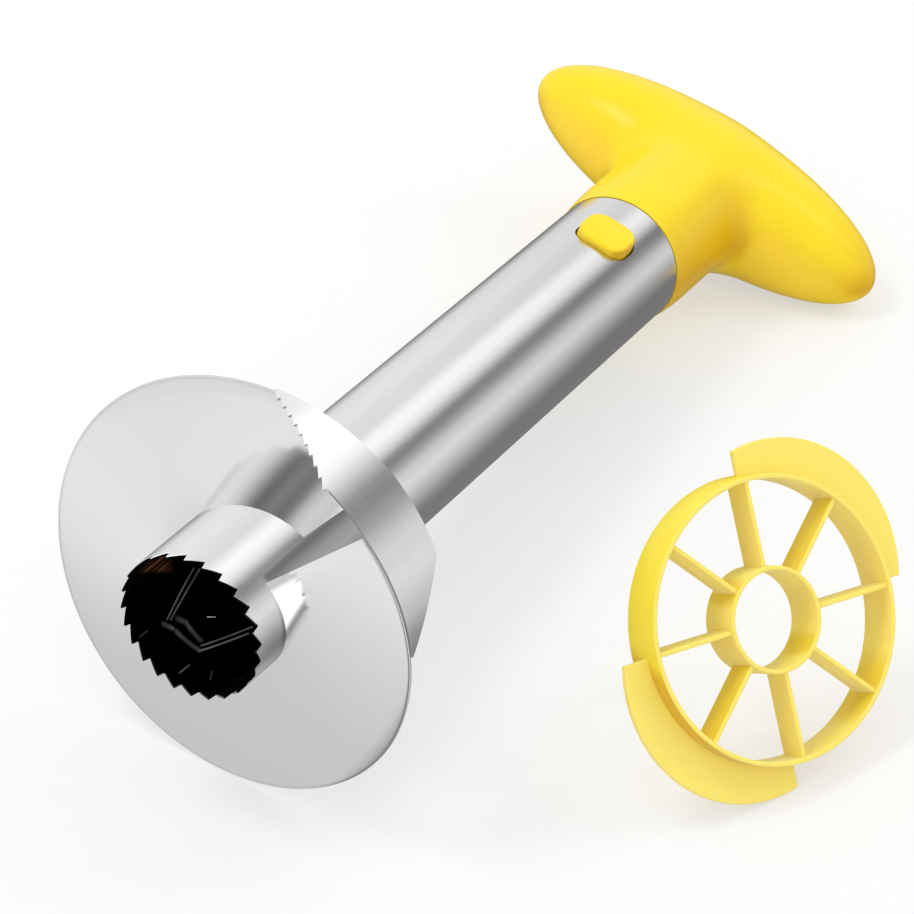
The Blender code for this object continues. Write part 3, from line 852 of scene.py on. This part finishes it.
def slit_shade(nodes, place, along):
    """Shade on the tube behind the blade's slit, left out where other steel mirrors it."""
    strength = 0.5
    front_end = nodes.spread(along, 0.002, 0.004)
    back_end = nodes.spread(along, 0.046, 0.036)
    behind = nodes.product(front_end, back_end)
    beside = between_turns(nodes, tool_turn(nodes, place), first=(24, 29), last=(95, 75))
    direct = nodes.inverse(nodes.add("ShaderNodeLightPath").outputs["Is Glossy Ray"])
    return nodes.product(behind, beside, nodes.product(direct, strength))


# Painted shade on the tube's steel: brightness by distance in metres from a point ahead of its origin,
# darker towards the handle
TUBE_SHADING = [(0.01, 0.85), (0.11, 0.81), (0.17, 0.74)]
TUBE_SHADING_AHEAD = 0.02


def tube_steel():
    """Polished tube with lengthwise grain and painted shade that darkens it towards the handle; its
    bore is painted near black as shade.
    """
    material, nodes, shader, place = new_steel("tube_steel")
    lines = nodes.stretched(place, (2600, 2600, 22))
    grain = steel_grain(nodes, shader, lines, roughness=(0.15, 0.2), strength=0.05)
    along = nodes.part(place, (0, 0, 1))
    fade = nodes.levels(nodes.math("ADD", along, TUBE_SHADING_AHEAD), TUBE_SHADING)
    fine = nodes.ramp(grain, [(0.3, (0.97, 0.97, 0.975, 1)), (0.7, WHITE)])
    tint = nodes.mix(slit_shade(nodes, place, along), nodes.tinted(fade, fine), BLACK)
    inside = nodes.math("LESS_THAN", from_axis(nodes, place), TUBE_RADIUS - TUBE_SKIN)
    # The bore is painted near black as shade deep inside the tube
    painted_bore_shade = grey(0.002)
    nodes.link(nodes.mix(inside, tint, painted_bore_shade), shader.inputs["Base Color"])
    glints = bore_glints(nodes, place, along, grain)
    # The glints and the sheen glow by emission, as painted reflections
    nodes.link(nodes.mix(inside, BLACK, glints), shader.inputs["Emission Color"])
    shader.inputs["Emission Strength"].default_value = 1.0
    return material


def blade_steel():
    """Mirror-like sheet with faint turning marks round the axis, and painted shade that darkens its
    rim, most by the wall.
    """
    material, nodes, shader, place = new_steel("blade_steel")
    marks_per_metre = 2200.0
    radius = from_axis(nodes, place)
    marks = nodes.combined(nodes.product(radius, marks_per_metre))
    steel_grain(nodes, shader, marks, roughness=(0.09, 0.13), strength=0.03)
    # Painted shade: darker all round the rim, and far darker in the corner where the rim meets the
    # wall
    rim = nodes.spread(radius, 0.0440, 0.0446)
    tint = nodes.mix(rim, grey(0.79), grey(0.70))
    by_wall = between_turns(nodes, tool_turn(nodes, place), first=(24, 30), last=(105, 85))
    lip = nodes.product(nodes.spread(radius, 0.04455, 0.0448), by_wall)
    nodes.link(nodes.mix(lip, tint, grey(0.42)), shader.inputs["Base Color"])
    return material


# Painted light and shade on the wall's steel: brightness by degrees from the wall's first tooth
WALL_SHADING = [
    (0, 0.95),
    (8, 1.0),
    (34, 1.0),
    (38, 0.92),
    (46, 0.92),
    (57, 0.82),
    (62, 0.75),
    (67, 0.68),
    (72, 0.45),
    (78, 0.34),
]
WALL_SHADING_SPAN = 90


def wall_steel():
    """The upright step of the blade, with painted light and shade: brighter where it faces up, and a
    painted dark shade on its front edge.
    """
    material, nodes, shader, place = new_steel("wall_steel")
    lines = nodes.stretched(place, (40, 40, 1500))
    grain = steel_grain(nodes, shader, lines, roughness=(0.12, 0.14), strength=0.008)
    turn = nodes.math("ADD", tool_turn(nodes, place), -WALL_START)
    tones = [(angle / WALL_SHADING_SPAN, tone) for angle, tone in WALL_SHADING]
    tint = nodes.levels(nodes.math("DIVIDE", turn, radians(WALL_SHADING_SPAN)), tones)
    tint = nodes.tinted(tint, nodes.levels(grain, [(0.3, 0.97), (0.7, 1.0)]))
    # Painted shade: a dark line on the wall's front-facing faces past its teeth
    facing_front = nodes.spread(nodes.part(nodes.normal(), TOOL_AXIS), -0.15, -0.45)
    past_teeth = nodes.spread(turn, radians(28), radians(30))
    shaded_front_edge = nodes.product(facing_front, past_teeth)
    nodes.link(nodes.mix(shaded_front_edge, tint, grey(0.16)), shader.inputs["Base Color"])
    return material


def plain_steel():
    """Dull steel for the screw and the springs."""
    wear_scale = 900.0
    material, nodes, shader = new_material("screw_steel")
    shader.inputs["Metallic"].default_value = 1.0
    wear = nodes.noise(nodes.here(), wear_scale, detail=3.0)
    colour = nodes.ramp(wear, [(0.3, (0.30, 0.30, 0.31, 1)), (0.7, (0.48, 0.48, 0.49, 1))])
    nodes.link(colour, shader.inputs["Base Color"])
    nodes.link(nodes.spread(wear, 0.2, 0.8, to_low=0.25, to_high=0.45), shader.inputs["Roughness"])
    nodes.link(nodes.bump(wear, strength=0.1, distance=0.00003), shader.inputs["Normal"])
    return material


def looking(nodes, normal, way, low, high):
    """How far a face looks a given way, from 0 to 1."""
    return nodes.spread(nodes.part(normal, way), low, high)


def handle_sides(nodes, normal, body):
    """Painted bounce light from the paper where the bar faces the mouth end, and painted shade on
    faces that look right.
    """
    mouthwards = looking(nodes, normal, (0, -1, 0), 0.72, 0.97)
    body = nodes.mix(mouthwards, body, (0.98, 0.69, 0.04, 1))
    right = looking(nodes, normal, (1, 0, 0), 0.5, 0.9)
    return nodes.tinted(body, nodes.mix(right, WHITE, (0.88, 0.80, 1.0, 1)))


def rim_outside(nodes, normal):
    """1 on the outer side of the ring's rim, 0 on every other face."""
    margin = 0.0003
    offset = nodes.vector("SUBTRACT", nodes.here(), RING_ORIGIN)
    depth = nodes.part(offset, RING_FACING)
    whole = nodes.math("POWER", nodes.vector("LENGTH", offset), 2.0)
    squared = nodes.math("SUBTRACT", whole, nodes.math("POWER", depth, 2.0))
    beyond = nodes.math("GREATER_THAN", squared, (RING_RADIUS - margin) ** 2)
    within = nodes.math("LESS_THAN", squared, (RING_RADIUS + margin) ** 2)
    edgewise = nodes.inverse(looking(nodes, normal, RING_FACING, 0.2, 0.7))
    return nodes.product(beyond, within, edgewise)


def ring_sides(nodes, normal, body):
    """Painted shade in deeper golden where faces of the moulding look at each other, and on the
    outside of the rim, most where it does not face up.
    """
    down = nodes.inverse(looking(nodes, normal, (0, 0, 1), 0.0, 0.14))
    rim = nodes.mix(down, (1.0, 0.97, 0.25, 1), (0.80, 0.61, 0.01, 1))
    crosswise = looking(nodes, normal, (-0.65, -0.37, 0.66), 0.93, 0.995)
    spokes = nodes.mix(crosswise, WHITE, (0.89, 0.79, 0.2, 1))
    return nodes.tinted(body, nodes.mix(rim_outside(nodes, normal), spokes, rim))


def yellow_plastic(name, light, shaded_yellow, roughness, shine, sides):
    """Moulded plastic with painted light and shade: deepest where it faces sideways, lit again by
    painted bounce light where it faces down, with a faint orange-peel skin.
    """
    fleck_scale = 420.0
    skin_scale = 700.0
    material, nodes, shader = new_material(name)
    here = nodes.here()
    normal = nodes.normal()
    up = looking(nodes, normal, (0, 0, 1), -1.0, 1.0)
    between = tuple((2 * low + high) / 3 for low, high in zip(shaded_yellow, light))
    bounced = tuple(0.35 * low + 0.65 * high for low, high in zip(shaded_yellow, light))
    # Painted light and shade: lit and shaded copies of the yellow, by how far the face looks up
    body = nodes.ramp(up, [(0, light), (0.16, bounced), (0.42, shaded_yellow), (0.62, between), (0.88, light)])
    flecks = nodes.levels(nodes.noise(here, fleck_scale), [(0.35, 0.985), (0.65, 1.0)])
    colour = nodes.tinted(sides(nodes, normal, body), flecks)
    nodes.link(colour, shader.inputs["Base Color"])
    skin = nodes.noise(here, skin_scale)
    nodes.link(nodes.spread(skin, 0.2, 0.8, *roughness), shader.inputs["Roughness"])
    nodes.link(nodes.bump(skin, strength=0.04, distance=0.00002), shader.inputs["Normal"])
    shader.inputs["Specular IOR Level"].default_value = shine
    return material


def handle_plastic():
    return yellow_plastic(
        "handle_yellow",
        light=(0.95, 0.70, 0.014, 1),
        # The shaded copy of the yellow, for painted shade
        shaded_yellow=(0.77, 0.48, 0.004, 1),
        roughness=(0.29, 0.36),
        shine=0.27,
        sides=handle_sides,
    )


def ring_plastic():
    return yellow_plastic(
        "ring_yellow",
        # The shaded copy of the yellow, for painted shade
        light=(0.97, 0.80, 0.15, 1),
        shaded_yellow=(0.92, 0.72, 0.17, 1),
        roughness=(0.33, 0.40),
        shine=0.35,
        sides=ring_sides,
    )


# Painted reflection: how bright polished steel sees the paper, by sideways distance from the corer's
# axis in metres, darker near the tube as painted shade
PAPER_RIGHT = [(0.04, 0.22), (0.068, 0.42), (0.0965, 0.58), (0.15, 0.72), (0.3, 0.86)]
PAPER_LEFT = [(0.04, 0.10), (0.068, 0.20), (0.0965, 0.38), (0.15, 0.62), (0.3, 0.86)]

# The same ahead of the mouth, by forward distance from the corer's origin
PAPER_FRONT = [
    (0, 0.70),
    (0.02, 0.72),
    (0.045, 0.82),
    (0.075, 0.95),
    (0.1, 0.99),
    (0.145, 0.97),
    (0.16, 0.88),
    (0.25, 0.87),
]

# To the right of the mouth, painted into what polished steel sees: a shaded strip, and past it a
# bright glowing patch, a painted reflection
PAPER_STRIP = 0.35
PAPER_GLOW_PATCH = 1.9


def paper_mirrored(nodes, here):
    """The paper's brightness for polished steel, a painted reflection that glows."""
    side = nodes.math("SUBTRACT", nodes.part(here, (1, 0, 0)), TOOL_ORIGIN.x)
    ahead = nodes.math("SUBTRACT", TOOL_ORIGIN.y, nodes.part(here, (0, 1, 0)))
    right = nodes.levels(side, PAPER_RIGHT)
    left = nodes.levels(nodes.product(side, -1.0), PAPER_LEFT)
    beside = nodes.mix(nodes.math("LESS_THAN", side, 0.0), right, left)
    on_strip = nodes.spread(side, 0.019, 0.027)
    front = nodes.mix(on_strip, nodes.levels(ahead, PAPER_FRONT), grey(PAPER_STRIP))
    # Painted reflection: a bright glowing patch past the shaded strip
    on_glow_patch = nodes.spread(side, 0.038, 0.055)
    front = nodes.mix(on_glow_patch, front, grey(PAPER_GLOW_PATCH))
    in_front = nodes.spread(ahead, -0.045, -0.005)
    return nodes.mix(in_front, beside, front)


def emission(nodes, colour):
    node = nodes.add("ShaderNodeEmission")
    nodes.feed(node.inputs["Color"], colour)
    return node.outputs[0]


def shader_mix(nodes, share, first, second):
    node = nodes.add("ShaderNodeMixShader")
    for socket, value in zip(node.inputs, (share, first, second)):
        nodes.link(value, socket)
    return node.outputs[0]


def floor_material():
    """White to look at; for polished steel it glows as a painted reflection, with painted shade beside
    the tube and paler further out.
    """
    white_share = 0.55
    fibre_scale = 260.0
    material, nodes, shader = new_material("floor_paper")
    here = nodes.here()
    fibre = nodes.levels(nodes.noise(here, fibre_scale), [(0.3, 0.905), (0.7, 0.92)])
    nodes.link(fibre, shader.inputs["Base Color"])
    shader.inputs["Roughness"].default_value = 0.9
    shader.inputs["Specular IOR Level"].default_value = 0.0
    path = nodes.add("ShaderNodeLightPath")
    whitened = nodes.product(path.outputs["Is Camera Ray"], white_share)
    paper = shader_mix(nodes, whitened, shader.outputs[0], emission(nodes, grey(0.96)))
    mirrored = emission(nodes, paper_mirrored(nodes, here))
    look = shader_mix(nodes, path.outputs["Is Glossy Ray"], paper, mirrored)
    nodes.link(look, material.node_tree.nodes["Material Output"].inputs["Surface"])
    return material


# Brightness round the tube's axis by degrees: -180 is straight down, -90 left, 0 up, 90 right
STUDIO = [
    (-180, 0.30), (-128, 0.36), (-105, 0.75), (-80, 0.90), (-55, 0.96), (-33, 0.89), (-14, 0.84),
    (2, 1.18), (14, 1.15), (27, 0.88), (42, 0.26), (50, 0.24), (60, 0.40), (73, 0.73), (88, 0.82),
    (103, 0.72), (118, 0.50), (135, 0.34), (180, 0.28),
]

# The same for the tube's mirror image in the blade, which looks back past the camera
STUDIO_BACK = [
    (-180, 0.90), (-75, 1.08), (-57, 0.93), (-44, 0.72), (-36, 0.50), (-26, 0.29), (-18, 0.15),
    (-10, 0.20), (1, 0.30), (9, 0.27), (22, 0.20), (30, 0.31), (40, 0.73), (56, 0.99), (74, 0.78),
    (84, 1.3), (110, 1.4), (180, 0.9),
]
STUDIO_PLAIN = (0.92, 0.925, 0.93, 1)


def boards(nodes, share, profile):
    return nodes.levels(share, [((angle + 180) / 360, level) for angle, level in profile])


def studio_world():
    """Plain pale light, and bright and dark boards round the corer for its steel."""
    world = bpy.data.worlds.new("studio")
    world.use_nodes = True
    nodes = Nodes(world.node_tree)
    way = nodes.add("ShaderNodeTexCoord").outputs["Generated"]
    turn = nodes.math("ARCTAN2", nodes.part(way, (1, 0, 0)), nodes.part(way, TOOL_UP))
    share = nodes.math("ADD", nodes.math("DIVIDE", turn, radians(360)), 0.5)
    onward = nodes.spread(nodes.part(way, TOOL_AXIS), -0.05, 0.05)
    seen = nodes.mix(onward, boards(nodes, share, STUDIO_BACK), boards(nodes, share, STUDIO))
    path = nodes.add("ShaderNodeLightPath")
    colour = nodes.mix(path.outputs["Is Glossy Ray"], STUDIO_PLAIN, seen)
    nodes.link(colour, world.node_tree.nodes["Background"].inputs["Color"])
    bpy.context.scene.world = world


def area_light(name, place, aim, size, power):
    lamp = bpy.data.lights.new(name, "AREA")
    lamp.shape = "RECTANGLE"
    lamp.size, lamp.size_y = size
    lamp.energy = power
    made = linked(name, lamp)
    made.location = place
    made.rotation_euler = (Vector(aim) - Vector(place)).to_track_quat("-Z", "Y").to_euler()
    return made


def add_lights():
    area_light(
        "key", place=(-0.31, -0.18, 0.74), aim=(-0.02, 0.05, 0.02), size=(0.22, 0.22), power=1.4
    )
    area_light(
        "side", place=(0.45, 0.38, 0.64), aim=(0, 0.08, 0.02), size=(0.12, 0.5), power=0.7
    )


def add_floor():
    mesh = bpy.data.meshes.new("studio_floor")
    low, high = -FLOOR_HALF, FLOOR_HALF
    corners = [(low, low, 0), (high, low, 0), (high, high, 0), (low, high, 0)]
    mesh.from_pydata(corners, [], [(0, 1, 2, 3)])
    mesh.materials.append(floor_material())
    floor = linked("studio_floor", mesh)
    floor.location = (0, 0, -FLOOR_DROP)


def add_camera():
    lens = bpy.data.cameras.new("camera")
    lens.lens = CAMERA_LENS
    lens.sensor_width = CAMERA_SENSOR
    lens.clip_end = CAMERA_CLIP_END
    camera = linked("camera", lens)
    level = Vector((-sin(CAMERA_TURN), cos(CAMERA_TURN), 0)) * cos(CAMERA_ELEVATION)
    view = level - Vector((0, 0, sin(CAMERA_ELEVATION)))
    camera.location = TARGET - view * CAMERA_DISTANCE
    camera.rotation_euler = view.to_track_quat("-Z", "Y").to_euler()
    bpy.context.scene.camera = camera


def dress(material, *names):
    """Give CAD nodes their material."""
    for name in names:
        mesh = frame["nodes"][name].data
        mesh.materials.clear()
        mesh.materials.append(material)


def main():
    handle_yellow = handle_plastic()
    ring_yellow = ring_plastic()
    tube = tube_steel()
    blade = blade_steel()
    wall = wall_steel()
    dress(tube, "core_tube")
    dress(blade, "spiral_blade")
    dress(wall, "rim_blade")
    dress(plain_steel(), "handle_screw", "button_spring_top", "button_spring_bottom")
    dress(handle_yellow, "handle_body", "handle_plug", "screw_cap")
    dress(handle_yellow, "release_button_top", "release_button_bottom")
    dress(ring_yellow, *[name for name in frame["nodes"] if name.startswith("wedge_")])
    add_corer(tube, blade, wall, handle_yellow)
    add_wedge_ring(ring_yellow)
    keep_out_of_reflections()
    add_floor()
    studio_world()
    add_lights()
    add_camera()
    bpy.context.scene.view_settings.view_transform = "Standard"


main()
